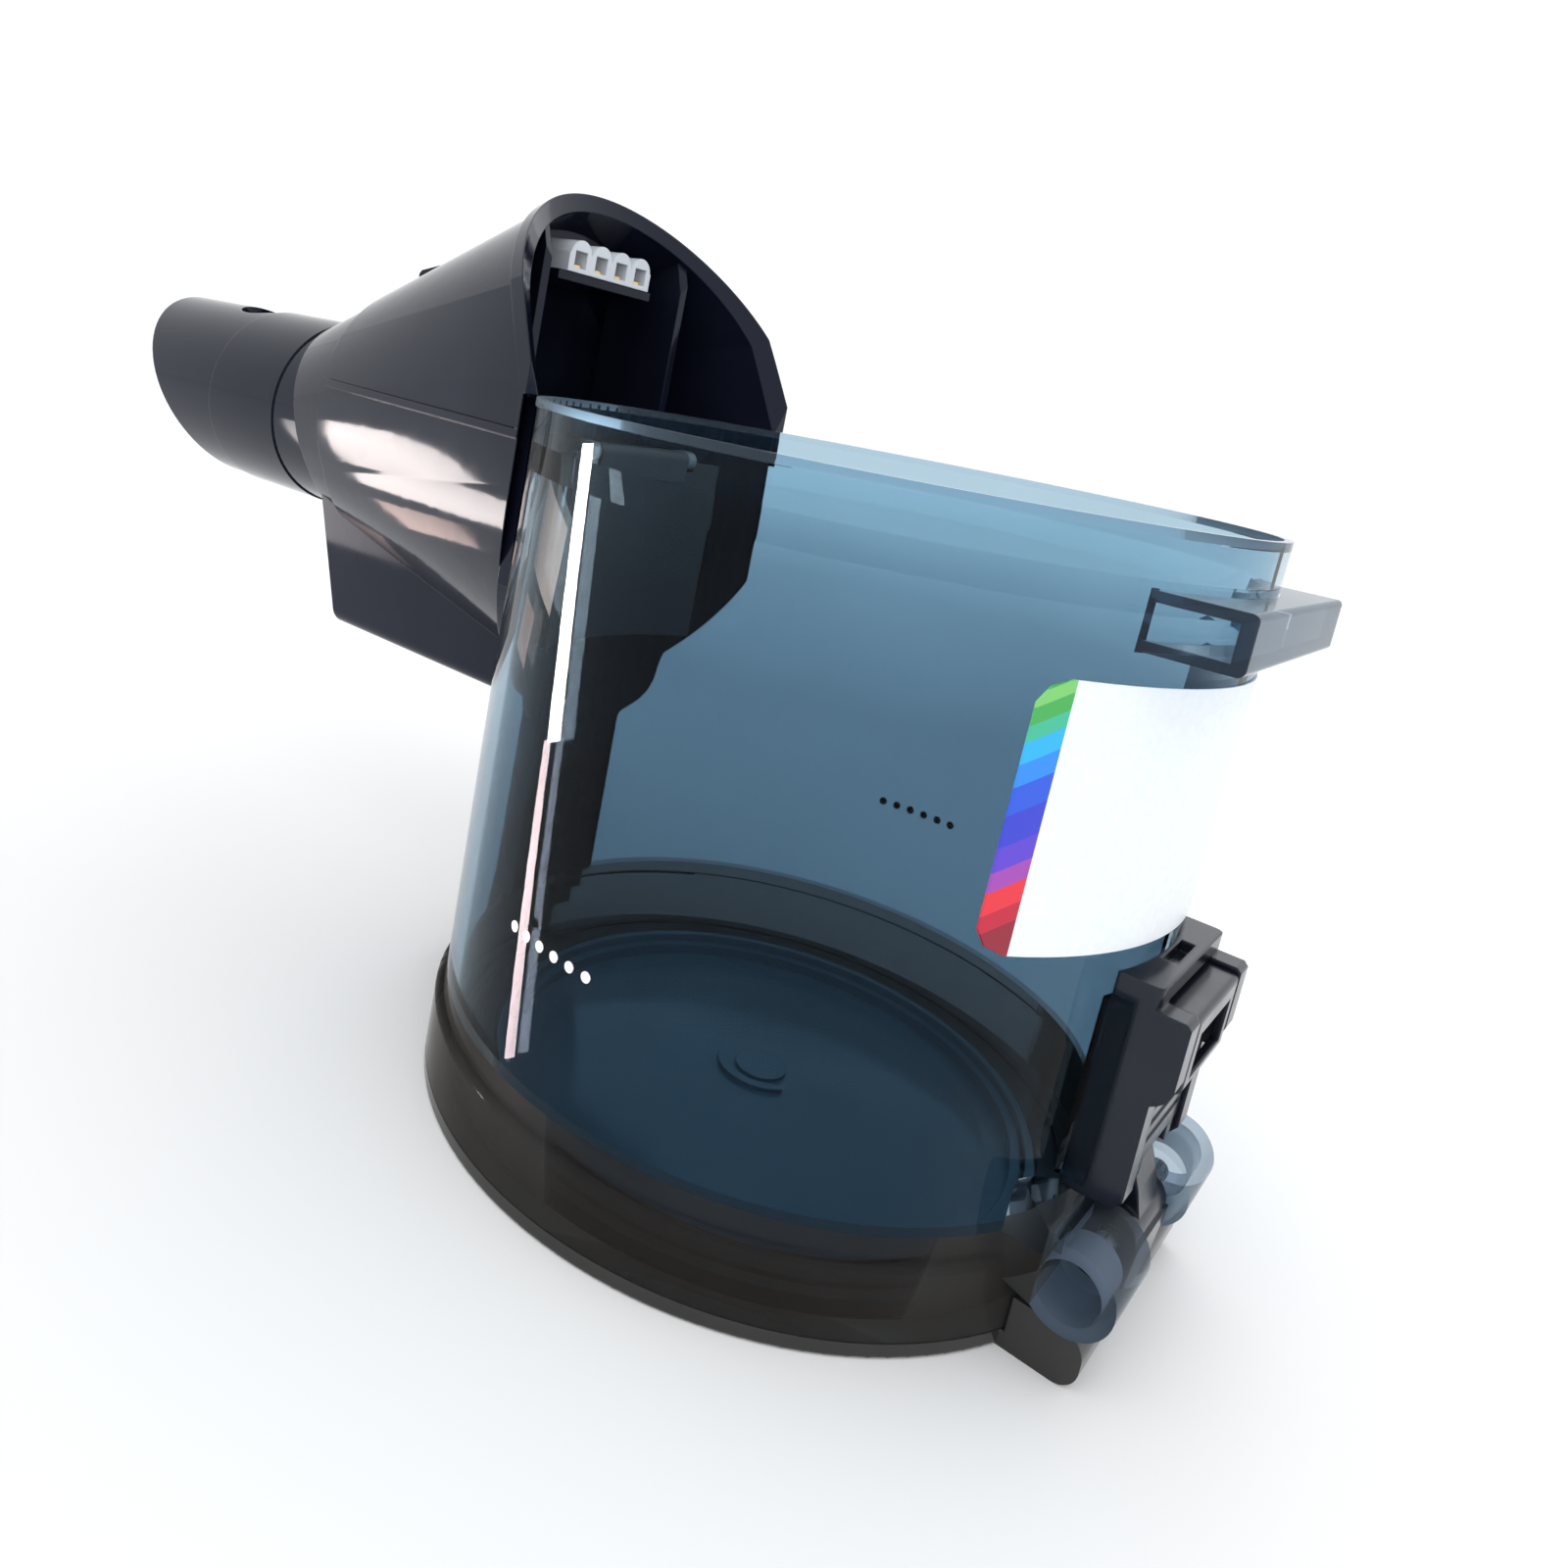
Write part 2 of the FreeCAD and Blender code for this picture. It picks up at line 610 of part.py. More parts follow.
def flap_axis():
    return (5.7 - cup_r_top, win_z1 + 1.2)


def make_flap():
    ax, az = flap_axis()
    r = wall_r(80) - wall_t
    plate = zring(r - 0.9, r - 2.1, win_z0 - 2, az)
    w = win_half + 2.0
    plate = plate.common(box(-cup_r_top - 6, -w, win_z0 - 2, 24 - cup_r_top, w, az - 0.2))
    barrel = ycyl(1.6, ax, az, -12, 12)
    neck = box(ax - 1.2, -12, az - 3, ax + 1.6, 12, az)
    neck = neck.cut(Part.makeCylinder(r - 2.1, 60, V(0, 0, 50))).fuse(
        box(ax - 0.6, -12, az - 4, ax + 1.6, 12, az))
    body = plate.fuse(barrel).fuse(neck)
    body = body.common(Part.makeCylinder(r - 0.9, 80, V(0, 0, 40)))
    # room for the ears of the hinge
    body = body.cut(both(box(ax - 8, 12.1, az - 2.0, ax + 8, 14.7, az + 3)))
    return body.cut(ycyl(0.83, ax, az, -40, 40)).removeSplitter()


def make_flap_hinge():
    ax, az = flap_axis()
    r = wall_r(az) - wall_t
    out = []
    for s in (-1, 1):
        y0 = 12.3
        y1 = 14.5
        ear = ycyl(1.6, ax, az, y0, y1).fuse(box(-cup_r_top - 2, y0, az - 1.6, ax, y1, az + 1.6))
        ear = ear.common(Part.makeCylinder(r - 0.05, 80, V(0, 0, 40)))
        if s < 0:
            ear = mirror_y(ear)
        out.append(ear)
    pin = ycyl(0.75, ax, az, -14.5, 14.5)
    return fuse_all(out + [pin])


def make_connector():
    x0 = conn_x0
    x1 = conn_x1
    base = box(x0, -11.0, conn_z, x1, 11.0, conn_z + 3.2)
    tops = []
    for i in range(4):
        y = -8.1 + 5.4 * i
        tops.append(Part.makeCylinder(2.7, x1 - x0, V(x0, y, conn_z + 2.8), V(1, 0, 0)))
    body = fuse_all([base] + tops)
    for i in range(4):
        y = -8.1 + 5.4 * i
        body = body.cut(box(x1 - 5, y - 1.5, conn_z + 0.8, x1 + 1, y + 1.5, conn_z + 3.6))
    return body


def make_contacts():
    out = []
    for i in range(4):
        y = -8.1 + 5.4 * i
        z = conn_z + 0.8
        leaf = box(conn_x1 - 5.0, y - 0.9, z, conn_x1 - 0.7, y + 0.9, z + 0.5)
        leaf = leaf.fuse(box(conn_x1 - 5.0, y - 0.9, z, conn_x1 - 4.5, y + 0.9, z + 2.4))
        out.append(leaf)
    return Part.makeCompound(out)


def make_socket():
    y = box_half - 2
    body = box(box_x + 1.0, -y, box_z + 2, box_x + 17, y, box_z + 11.5)
    return body.cut(box(box_x, -y + 1.6, box_z + 3.6, box_x + 11, y - 1.6, box_z + 10.0))


def make_socket_pins():
    out = []
    for y in (-5.0, 0.0, 5.0):
        out.append(box(box_x + 3.0, y - 0.4, box_z + 5.2, box_x + 11.0, y + 0.4, box_z + 8.4))
    return Part.makeCompound(out)


def make_housing():
    shell = box(hs_x - 17.1, -hs_half, hs_low, hs_x, hs_half, hs_top)
    shell = round_edges(shell, 1.2, lambda e: abs(e.BoundBox.XMin - hs_x) < 1e-6 and e.BoundBox.ZLength > 5)
    cheek = prism_y([(hs_x - 12.1, hs_low), (cheek_x - 1.2, hs_low), (cheek_x, hs_low + 1.6), (cheek_x - 0.1, cheek_z0 - 0.4),
                     (cheek_x + 0.8, cheek_z0 + 0.2), (cheek_bump - 0.5, cheek_z0 + 1.0), (cheek_bump, cheek_z0 + 2.6),
                     (cheek_bump, cheek_z1 - 0.6), (cheek_bump - 0.6, cheek_z1), (hs_x - 12.1, cheek_z1)], cav_half, hs_half)
    body = fuse_all([shell, cheek, mirror_y(cheek)])
    cav = box(cav_x, -cav_half, hs_low - 1, 80, cav_half, cav_top)
    body = body.cut(cav)
    # ledge that the spring stands on
    ledge = box(cav_x - 1.5, -1.9, spring_z - 1.4, cav_x + 1.9, 1.9, spring_z)
    body = body.fuse(ledge)
    # room for the tail of the catch
    body = body.cut(box(hs_x - 9.1, -4.6, hs_low - 1, cav_x + 0.1, 4.6, spring_z - 2.0))
    body = body.cut(box(hs_x - 3.1, -4.6, hs_top - 1.6, hs_x - 1.3, 4.6, hs_top + 1))
    body = body.cut(wall_cone(0, 0, cup_h))
    for y in (-7.4, 7.4):
        body = body.cut(Part.makeCylinder(1.1, 3, V(cav_x - 2.8, y, 42.0), V(1, 0, 0)))
    return body.removeSplitter()


def make_housing_screws():
    out = []
    for y in (-7.4, 7.4):
        s = Part.makeCylinder(1.1, 1.2, V(cav_x - 1.2, y, 42.0), V(1, 0, 0))
        out.append(s.cut(box(cav_x - 0.4, y - 0.8, 41.75, cav_x + 1, y + 0.8, 42.25)).cut(wall_cone(0, 0, cup_h)))
    return Part.makeCompound(out)


def make_slider():
    plate = box(sl_x0, -sl_half, sl_low, sl_x1, sl_half, sl_top)
    pad = box(sl_x0, -sl_half, pad_z0, pad_x, sl_half, sl_top)
    pad = round_edges(pad, 0.8, lambda e: abs(e.BoundBox.XMin - pad_x) < 1e-6)
    pocket = box(sl_x1 - 0.8, -sl_half + 1.6, pad_z0 - 1, pad_x - 1.1, sl_half - 1.6, sl_top - 1.7)
    mouth = box(sl_x1 + 0.3, -sl_half + 2.6, pad_z0 + 1.5, pad_x + 2, sl_half - 2.6, sl_top - 2.6)
    legs = []
    for s in (-1, 1):
        y0 = min(s * 5.6, s * 8.2)
        y1 = max(s * 5.6, s * 8.2)
        legs.append(box(sl_x0 + 1.5, y0, hs_low + 1.4, sl_x1, y1, sl_low + 1))
    body = fuse_all([plate, pad] + legs)
    body = body.cut(pocket).cut(mouth)
    # the nose that works the tail of the catch is thinner
    body = body.cut(box(sl_x0 - 1, -4.8, sl_low - 1, kn_x - 0.2, 4.8, sl_low + 5.0))
    # channel for the spring
    body = body.cut(box(sl_x0 - 1, -2.3, sl_low - 1, sl_x0 + 2.1, 2.3, spring_top))
    for z in (27.5, 30.0, 32.5):
        body = body.cut(box(sl_x1 - 0.5, -sl_half + 2, z - 0.5, sl_x1 + 1, sl_half - 2, z + 0.5))
    return body.removeSplitter()


def make_spring():
    z0 = spring_z
    z1 = spring_top
    turns = 8
    pitch = (z1 - z0 - 0.5) / turns
    helix = Part.makeHelix(pitch, z1 - z0 - 0.5, 0.9)
    prof = Part.Wire([Part.makeCircle(0.2, V(0.9, 0, 0), V(0, 1, 0))])
    coil = Part.Wire(helix.Edges).makePipeShell([prof], True, False)
    coil.translate(V(sl_x0 + 0.85, 0, z0 + 0.25))
    return coil


def make_catch():
    hub = ycyl(catch_hub_r, kn_x, kn_z, -catch_half, catch_half)
    tail = prism_y([(kn_x - 2.4, kn_z), (kn_x + 2.9, kn_z), (kn_x + 1.3, kn_z + 5.8), (kn_x - 0.7, kn_z + 10.6),
                    (kn_x - 1.6, kn_z + 10.6), (kn_x - 1.8, kn_z + 5.0)], -4.0, 4.0)
    arm = prism_y([(kn_x - 0.2, kn_z), (kn_x + 3.6, kn_z), (kn_x + 2.8, 4.0), (kn_x + 2.2, 1.2), (kn_x + 1.4, 0.5),
                   (kn_x - 2.0, 0.5), (kn_x - 2.2, 1.0), (kn_x - 1.8, ledge_z - 0.3), (kn_x - 0.2, ledge_z - 0.3)],
                  -catch_half, catch_half)
    body = fuse_all([hub, tail, arm])
    return body.cut(ycyl(catch_pin_r + 0.08, kn_x, kn_z, -30, 30))


def make_catch_pin():
    half = kn_in + 5.3
    return ycyl(catch_pin_r, kn_x, kn_z, -half, half)


nodes = {
    "cup_shell": make_cup,
    "rear_label": make_label,
    "level_marks": make_marks,
    "bottom_lid": make_lid,
    "lid_seal": make_seal,
    "lid_hinge_pin": make_hinge_pin,
    "inlet_duct": make_duct,
    "hood_cover": make_hood,
    "hood_screws": make_hood_screws,
    "saddle_plate": make_saddle,
    "strip_screws": make_strip_screws,
    "inlet_gasket": make_gasket,
    "inlet_flap": make_flap,
    "flap_hinge": make_flap_hinge,
    "connector_block": make_connector,
    "connector_contacts": make_contacts,
    "terminal_socket": make_socket,
    "terminal_pins": make_socket_pins,
    "latch_housing": make_housing,
    "housing_screws": make_housing_screws,
    "release_slider": make_slider,
    "slider_spring": make_spring,
    "lid_catch": make_catch,
    "catch_pin": make_catch_pin,
}

os.makedirs("parts", exist_ok=True)
for name in nodes:
    shape = nodes[name]()
    shape.exportStep("parts/" + name + ".step")
    bb = shape.BoundBox
    print(name, "valid", shape.isValid(), "solids", len(shape.Solids), "vol %.0f" % shape.Volume,
          "x %.1f..%.1f y %.1f..%.1f z %.1f..%.1f" % (bb.XMin, bb.XMax, bb.YMin, bb.YMax, bb.ZMin, bb.ZMax))
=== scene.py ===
import math
import bpy
from mathutils import Matrix, Quaternion, Vector


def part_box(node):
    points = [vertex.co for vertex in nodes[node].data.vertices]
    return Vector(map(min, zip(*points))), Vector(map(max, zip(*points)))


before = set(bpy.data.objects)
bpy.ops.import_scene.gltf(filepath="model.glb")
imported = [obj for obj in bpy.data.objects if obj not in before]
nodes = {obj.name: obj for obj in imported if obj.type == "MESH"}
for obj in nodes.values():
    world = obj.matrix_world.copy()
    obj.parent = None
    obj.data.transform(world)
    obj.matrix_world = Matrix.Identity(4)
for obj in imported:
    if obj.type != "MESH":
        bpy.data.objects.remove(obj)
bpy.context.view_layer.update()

WHITE = (1.0, 1.0, 1.0)


# Node helpers

class Tree:
    """A material's node tree, with short calls to add and join nodes."""

    def __init__(self, name):
        self.mat = bpy.data.materials.new(name)
        self.mat.use_nodes = True
        self.nt = self.mat.node_tree
        self.nt.nodes.clear()
        self.out = self.nt.nodes.new("ShaderNodeOutputMaterial")

    def node(self, kind, settings=None, **inputs):
        """Add a node. The settings are its own values, and the inputs are its sockets, with _ for a space."""
        n = self.nt.nodes.new("ShaderNode" + kind)
        for key, value in (settings or {}).items():
            setattr(n, key, value)
        for key, value in inputs.items():
            n.inputs[key.replace("_", " ")].default_value = value
        return n

    def join(self, a, b):
        self.nt.links.new(a, b)

    def surface(self, shader):
        """Join the last shader to the output, and give the material."""
        self.join(shader.outputs[0], self.out.inputs["Surface"])
        return self.mat

    def math(self, op, a, b=None):
        n = self.node("Math", {"operation": op})
        for i, v in enumerate((a, b)):
            if v is None:
                continue
            if isinstance(v, (int, float)):
                n.inputs[i].default_value = v
            else:
                self.join(v, n.inputs[i])
        return n.outputs[0]

    def over(self, value, limit):
        return self.math("GREATER_THAN", value, limit)

    def under(self, value, limit):
        return self.math("LESS_THAN", value, limit)

    def both(self, a, b):
        return self.math("MULTIPLY", a, b)

    def either(self, a, b):
        return self.math("MAXIMUM", a, b)

    def between(self, value, low, high):
        return self.both(self.over(value, low), self.under(value, high))

    def ramp(self, fac, stops, mode="LINEAR"):
        n = self.node("ValToRGB")
        n.color_ramp.interpolation = mode
        e = n.color_ramp.elements
        while len(e) < len(stops):
            e.new(0.5)
        for item, (pos, col) in zip(e, stops):
            item.position = pos
            item.color = (*col, 1)
        self.join(fac, n.inputs[0])
        return n.outputs[0]

    def grey_ramp(self, fac, low, high, start, end):
        """From one number to another, as a roughness needs."""
        return self.ramp(fac, [(start, (low,) * 3), (end, (high,) * 3)])

    def coords(self):
        return self.node("TexCoord").outputs["Object"]

    def place(self):
        """The object's own X, Y and Z, in metres."""
        xyz = self.node("SeparateXYZ")
        self.join(self.coords(), xyz.inputs[0])
        return xyz.outputs["X"], xyz.outputs["Y"], xyz.outputs["Z"]

    def radius_squared(self, x, y):
        return self.math("ADD", self.math("POWER", x, 2.0), self.math("POWER", y, 2.0))

    def mix_rgb(self, fac, a, b, blend="MIX"):
        n = self.node("Mix", {"data_type": "RGBA", "blend_type": blend})
        for sock, v in ((n.inputs[0], fac), (n.inputs[6], a), (n.inputs[7], b)):
            if isinstance(v, (int, float)):
                sock.default_value = v
            elif isinstance(v, tuple):
                sock.default_value = (*v, 1)
            else:
                self.join(v, sock)
        return n.outputs[2]

    def mix_shaders(self, fac, a, b):
        n = self.node("MixShader")
        self.join(fac, n.inputs[0])
        self.join(a.outputs[0], n.inputs[1])
        self.join(b.outputs[0], n.inputs[2])
        return n

    def noise(self, scale, detail=3.0, coords=None):
        n = self.node("TexNoise", Scale=scale, Detail=detail)
        self.join(coords or self.coords(), n.inputs["Vector"])
        return n.outputs["Fac"]

    def bump(self, strength, grain):
        """A fine relief, 0.1 mm deep at full strength."""
        b = self.node("Bump", Strength=strength, Distance=0.0001)
        self.join(self.noise(grain, 2.0), b.inputs["Height"])
        return b

    def rounded(self, radius):
        return self.node("Bevel", {"samples": 4}, Radius=radius).outputs[0]

    def scaled(self, x, y, z):
        m = self.node("Mapping", Scale=(x, y, z))
        self.join(self.coords(), m.inputs["Vector"])
        return m.outputs[0]


def plastic(name, dark, light, rough=(0.1, 0.2), bump=0.05, grain=1500.0, edge=0.0003, spec=0.5, sheen=WHITE):
    """Moulded plastic: a faint mottle in colour and gloss, a fine orange peel, and rounded edges."""
    t = Tree(name)
    p = t.node("BsdfPrincipled", Specular_IOR_Level=spec, Specular_Tint=(*sheen, 1))
    t.join(t.ramp(t.noise(45.0, 4.0), [(0.3, dark), (0.7, light)]), p.inputs["Base Color"])
    t.join(t.grey_ramp(t.noise(120.0, 5.0), *rough, 0.3, 0.72), p.inputs["Roughness"])
    relief = t.bump(bump, grain)
    t.join(t.rounded(edge), relief.inputs["Normal"])
    t.join(relief.outputs[0], p.inputs["Normal"])
    return t.surface(p)


# Where the cup's mouldings are thin, in metres. Radii are from the cup's axis, heights from its foot.
LIP_START, LIP_RISE = 0.078, 0.020
RIM_TOP = 0.1028
SKIRT_TOP = 0.0158
TINT_X, TINT_LUG_Z = 0.0546, 0.088
KNUCKLE_X, KNUCKLE_TOP = 0.0535, 0.0205
LUG_R, LUG_LOW, LUG_HIGH = 0.0541, 0.0888, 0.0985
# Bounds of the painted shade on the lug's side faces.
FACE_R, FACE_LOW, FACE_HIGH = 0.0535, 0.0898, 0.0972
FACE_INNER, FACE_OUTER = 0.0252, 0.0263

# Colours of the clear moulding: looked through where it is thick, then where it is thin, then its skin. Some stand
# for light rather than the moulding: painted light and shade on the knuckle barrels, painted shade on the skirt and
# the lug's sides, and a painted reflection on the skirt's skin.
WALL, LIP = (0.27, 0.385, 0.47), (0.47, 0.64, 0.74)
LUG_TINT, KNUCKLE_TINT = (0.46, 0.57, 0.66), (0.34, 0.38, 0.44)
SHADOW_TINT = (0.53, 0.64, 0.70)
# The skirt's see-through colour is darkened: painted shade at the cup's foot.
THIN_RIM, THIN_LUG, SKIRT_PAINTED_SHADE = (0.69, 0.80, 0.87), (0.84, 0.91, 0.96), (0.34, 0.36, 0.38)
# The two knuckle barrels are one moulding: the front one is darkened as painted shade and the rear one made paler as
# painted light.
FRONT_BARREL_PAINTED_SHADE, REAR_BARREL_PAINTED_LIGHT = (0.52, 0.55, 0.62), (0.78, 0.84, 0.89)
# Near black on the lug's side faces: painted shade.
LUG_SIDE_PAINTED_SHADE = (0.05, 0.08, 0.13)
EDGE_SHADE = (0.22, 0.26, 0.32)
UPPER_SKIN = [(0.3, (0.33, 0.40, 0.46)), (0.7, (0.39, 0.46, 0.52))]
# The skirt's skin is brownish: a painted reflection of a wooden floor.
SKIRT_PAINTED_REFLECTION = [(0.3, (0.205, 0.180, 0.162)), (0.7, (0.250, 0.222, 0.200))]


def clear_plastic(name):
    """Tinted clear plastic, paler towards the lip. Lamps shine through.

    The lug, the knuckles, the skirt and the rim let light go straight through them, and their edges look dark. The
    knuckles carry painted light and shade, the skirt and the lug's sides painted shade, and the skirt's skin a
    painted reflection.
    """
    t = Tree(name)
    x, y, z = t.place()
    thick = thick_shader(t, x, z)
    thin, thin_places = thin_shader(t, x, y, z)
    body = t.mix_shaders(thin_places, thick, thin)
    clear = t.node("BsdfTransparent", Color=(*SHADOW_TINT, 1))
    return t.surface(t.mix_shaders(t.node("LightPath").outputs["Is Shadow Ray"], body, clear))


def thick_shader(t, x, z):
    """The wall: tinted glass, with a faint mottle."""
    p = t.node("BsdfPrincipled", Transmission_Weight=1.0, IOR=1.15)
    height = t.math("DIVIDE", t.math("SUBTRACT", z, LIP_START), LIP_RISE)
    far_out = t.over(x, TINT_X)
    tint = t.ramp(height, [(0.0, WALL), (1.0, LIP)])
    tint = t.mix_rgb(t.both(far_out, t.over(z, TINT_LUG_Z)), tint, LUG_TINT)
    tint = t.mix_rgb(t.both(far_out, t.under(z, KNUCKLE_TOP)), tint, KNUCKLE_TINT)
    mottle = t.ramp(t.noise(25.0, 3.0), [(0.3, (0.94, 0.94, 0.94)), (0.7, WHITE)])
    t.join(t.mix_rgb(1.0, tint, mottle, "MULTIPLY"), p.inputs["Base Color"])
    t.join(t.grey_ramp(t.noise(60.0, 4.0), 0.012, 0.03, 0.35, 0.75), p.inputs["Roughness"])
    return p


def thin_shader(t, x, y, z):
    """Thin mouldings: straight-through light, dark edges and a little gloss, and the places that have it. Also
    painted light and shade on the knuckle barrels, painted shade on the skirt and the lug's sides, and a painted
    reflection on the skirt's skin.
    """
    r2 = t.radius_squared(x, y)
    rear = t.over(x, 0.0)
    side = t.math("ABSOLUTE", y)
    in_lug = t.both(t.both(t.over(r2, LUG_R ** 2), rear), t.between(z, LUG_LOW, LUG_HIGH))
    in_knuckle = t.both(t.over(x, KNUCKLE_X), t.under(z, KNUCKLE_TOP))
    in_skirt = t.under(z, SKIRT_TOP)
    on_wall = t.both(t.over(r2, FACE_R ** 2), rear)
    # Painted shade: a near-black strip on the lug's side faces.
    lug_side_shade_mask = t.both(t.both(on_wall, t.between(z, FACE_LOW, FACE_HIGH)), t.between(side, FACE_INNER, FACE_OUTER))
    places = t.either(t.either(in_lug, in_knuckle), t.either(in_skirt, t.over(z, RIM_TOP)))
    places = t.either(places, lug_side_shade_mask)

    facing = t.node("LayerWeight", Blend=0.35).outputs["Facing"]
    edge = t.ramp(facing, [(0.30, WHITE), (0.85, EDGE_SHADE)])
    # Painted light and shade: the rear knuckle barrel paler, the front one darker.
    barrel_painted_light = t.mix_rgb(t.under(y, 0.0), REAR_BARREL_PAINTED_LIGHT, FRONT_BARREL_PAINTED_SHADE)
    # Painted shade: the skirt is seen through darker than the rest of the thin moulding.
    tint_and_painted_light = t.mix_rgb(in_skirt, THIN_RIM, SKIRT_PAINTED_SHADE)
    tint_and_painted_light = t.mix_rgb(in_knuckle, tint_and_painted_light, barrel_painted_light)
    tint_and_painted_light = t.mix_rgb(in_lug, tint_and_painted_light, THIN_LUG)
    tint_and_painted_light = t.mix_rgb(lug_side_shade_mask, tint_and_painted_light, LUG_SIDE_PAINTED_SHADE)
    through = t.node("BsdfTransparent")
    t.join(t.mix_rgb(1.0, tint_and_painted_light, edge, "MULTIPLY"), through.inputs["Color"])

    skin = t.node("BsdfPrincipled", Roughness=0.12)
    grain = t.noise(80.0, 3.0)
    upper = t.ramp(grain, UPPER_SKIN)
    # Painted reflection: the skirt's skin takes the brownish colour of a wooden floor; the knuckles keep the upper
    # skin.
    lower_skin_with_reflection = t.mix_rgb(in_knuckle, t.ramp(grain, SKIRT_PAINTED_REFLECTION), upper)
    t.join(t.mix_rgb(in_skirt, upper, lower_skin_with_reflection), skin.inputs["Base Color"])
    gloss = t.math("ADD", t.node("Fresnel", IOR=1.28).outputs[0], 0.05)
    return t.mix_shaders(gloss, through, skin), places


LID_RING_R = 0.0436     # the lid is teal inside this radius
LID_UNDERSIDE = 0.0008  # and dark below this height


def lid_plastic(name):
    """Dark lid: teal inside its ring, near black outside."""
    t = Tree(name)
    p = t.node("BsdfPrincipled", Specular_IOR_Level=0.4)
    x, y, z = t.place()
    inside = t.both(t.under(t.radius_squared(x, y), LID_RING_R ** 2), t.over(z, LID_UNDERSIDE))
    teal = t.ramp(t.noise(18.0, 3.0), [(0.3, (0.042, 0.088, 0.120)), (0.7, (0.064, 0.122, 0.165))])
    black = t.ramp(t.noise(45.0, 4.0), [(0.3, (0.020, 0.019, 0.018)), (0.7, (0.030, 0.028, 0.027))])
    t.join(t.mix_rgb(inside, black, teal), p.inputs["Base Color"])
    t.join(t.grey_ramp(t.noise(90.0, 4.0), 0.09, 0.15, 0.3, 0.7), p.inputs["Roughness"])
    t.join(t.rounded(0.0003), p.inputs["Normal"])
    return t.surface(p)


# The strip of colours from its foot to its top: the share of the label's height, and the colour from there up.
STRIP = [
    (0.00, (0.30, 0.008, 0.03)), (0.06, (0.55, 0.01, 0.04)), (0.13, (0.80, 0.03, 0.05)),
    (0.215, (0.36, 0.06, 0.45)), (0.29, (0.11, 0.05, 0.62)), (0.38, (0.035, 0.05, 0.62)),
    (0.50, (0.02, 0.10, 0.72)), (0.60, (0.02, 0.26, 0.85)), (0.68, (0.02, 0.45, 0.83)),
    (0.76, (0.05, 0.50, 0.30)), (0.82, (0.06, 0.42, 0.09)), (0.88, (0.20, 0.60, 0.16)),
    (0.93, (0.05, 0.40, 0.08)), (0.97, (0.09, 0.50, 0.10)),
]
LABEL_HALF = math.radians(41.0)  # half the angle that the label covers on the wall
STRIP_WIDTH = math.radians(4.9)
STRIP_SLANT = 0.9                # share of the height that the colours drop by, for each radian


def label_print(name, foot, top):
    """Plain white film with one strip of colours along its edge."""
    t = Tree(name)
    p = t.node("BsdfPrincipled", Roughness=0.32)
    x, y, z = t.place()
    angle = t.math("ARCTAN2", y, x)
    in_strip = t.under(angle, -LABEL_HALF + STRIP_WIDTH)
    height = t.math("DIVIDE", t.math("SUBTRACT", z, foot), top - foot)
    drop = t.math("MULTIPLY", t.math("ADD", angle, LABEL_HALF), STRIP_SLANT)
    colours = t.ramp(t.math("SUBTRACT", height, drop), STRIP, "CONSTANT")
    paper = t.ramp(t.noise(900.0, 3.0), [(0.3, (0.83, 0.88, 0.93)), (0.7, (0.88, 0.92, 0.96))])
    t.join(t.mix_rgb(in_strip, paper, colours), p.inputs["Base Color"])
    t.join(t.bump(0.03, 1400.0).outputs[0], p.inputs["Normal"])
    return t.surface(p)


def mark_print(name):
    """Printed dots: white towards the outside, dark where they meet the wall."""
    t = Tree(name)
    p = t.node("BsdfPrincipled", Roughness=0.4)
    dot = t.node("VectorMath", {"operation": "DOT_PRODUCT"})
    t.join(t.node("NewGeometry").outputs["Normal"], dot.inputs[0])
    t.join(t.coords(), dot.inputs[1])
    outside = t.over(dot.outputs["Value"], 0.0)
    white = t.ramp(t.noise(3000.0, 2.0), [(0.3, (0.82, 0.82, 0.80)), (0.7, (0.9, 0.9, 0.88))])
    t.join(t.mix_rgb(outside, (0.004, 0.004, 0.005), white), p.inputs["Base Color"])
    return t.surface(p)


def metal(name, base, rough):
    """Drawn or turned metal, with fine lines across X."""
    t = Tree(name)
    p = t.node("BsdfPrincipled", Metallic=1.0)
    dull = tuple(0.85 * c for c in base)
    t.join(t.ramp(t.noise(200.0, 3.0), [(0.3, dull), (0.7, base)]), p.inputs["Base Color"])
    lines = t.noise(1.0, 3.0, t.scaled(300, 2500, 2500))
    t.join(t.grey_ramp(lines, rough * 0.7, rough * 1.3, 0.3, 0.7), p.inputs["Roughness"])
    return t.surface(p)


def give(mat, *names):
    for n in names:
        for s in nodes[n].material_slots:
            s.material = mat


smoke = clear_plastic("smoke_clear")
lid_smoke = lid_plastic("lid_teal")
gloss_black = plastic("duct_gloss", (0.005, 0.006, 0.014), (0.008, 0.0095, 0.020), rough=(0.07, 0.12), bump=0.03,
                      grain=500.0, spec=0.24, sheen=(0.76, 0.85, 1.0))
latch_black = plastic("latch_satin", (0.007, 0.008, 0.014), (0.013, 0.015, 0.024), rough=(0.16, 0.26), bump=0.08,
                      grain=2500.0, edge=0.0006, spec=0.36, sheen=(0.82, 0.91, 1.0))
grey = plastic("grey_moulding", (0.14, 0.14, 0.16), (0.2, 0.2, 0.22), rough=(0.35, 0.5), bump=0.1)
rubber = plastic("seal_rubber", (0.006, 0.007, 0.009), (0.012, 0.013, 0.016), rough=(0.5, 0.7), bump=0.2,
                 grain=3000.0)
flap_soft = plastic("flap_rubber", (0.02, 0.022, 0.028), (0.035, 0.036, 0.042), rough=(0.45, 0.6), bump=0.15,
                    grain=3000.0)
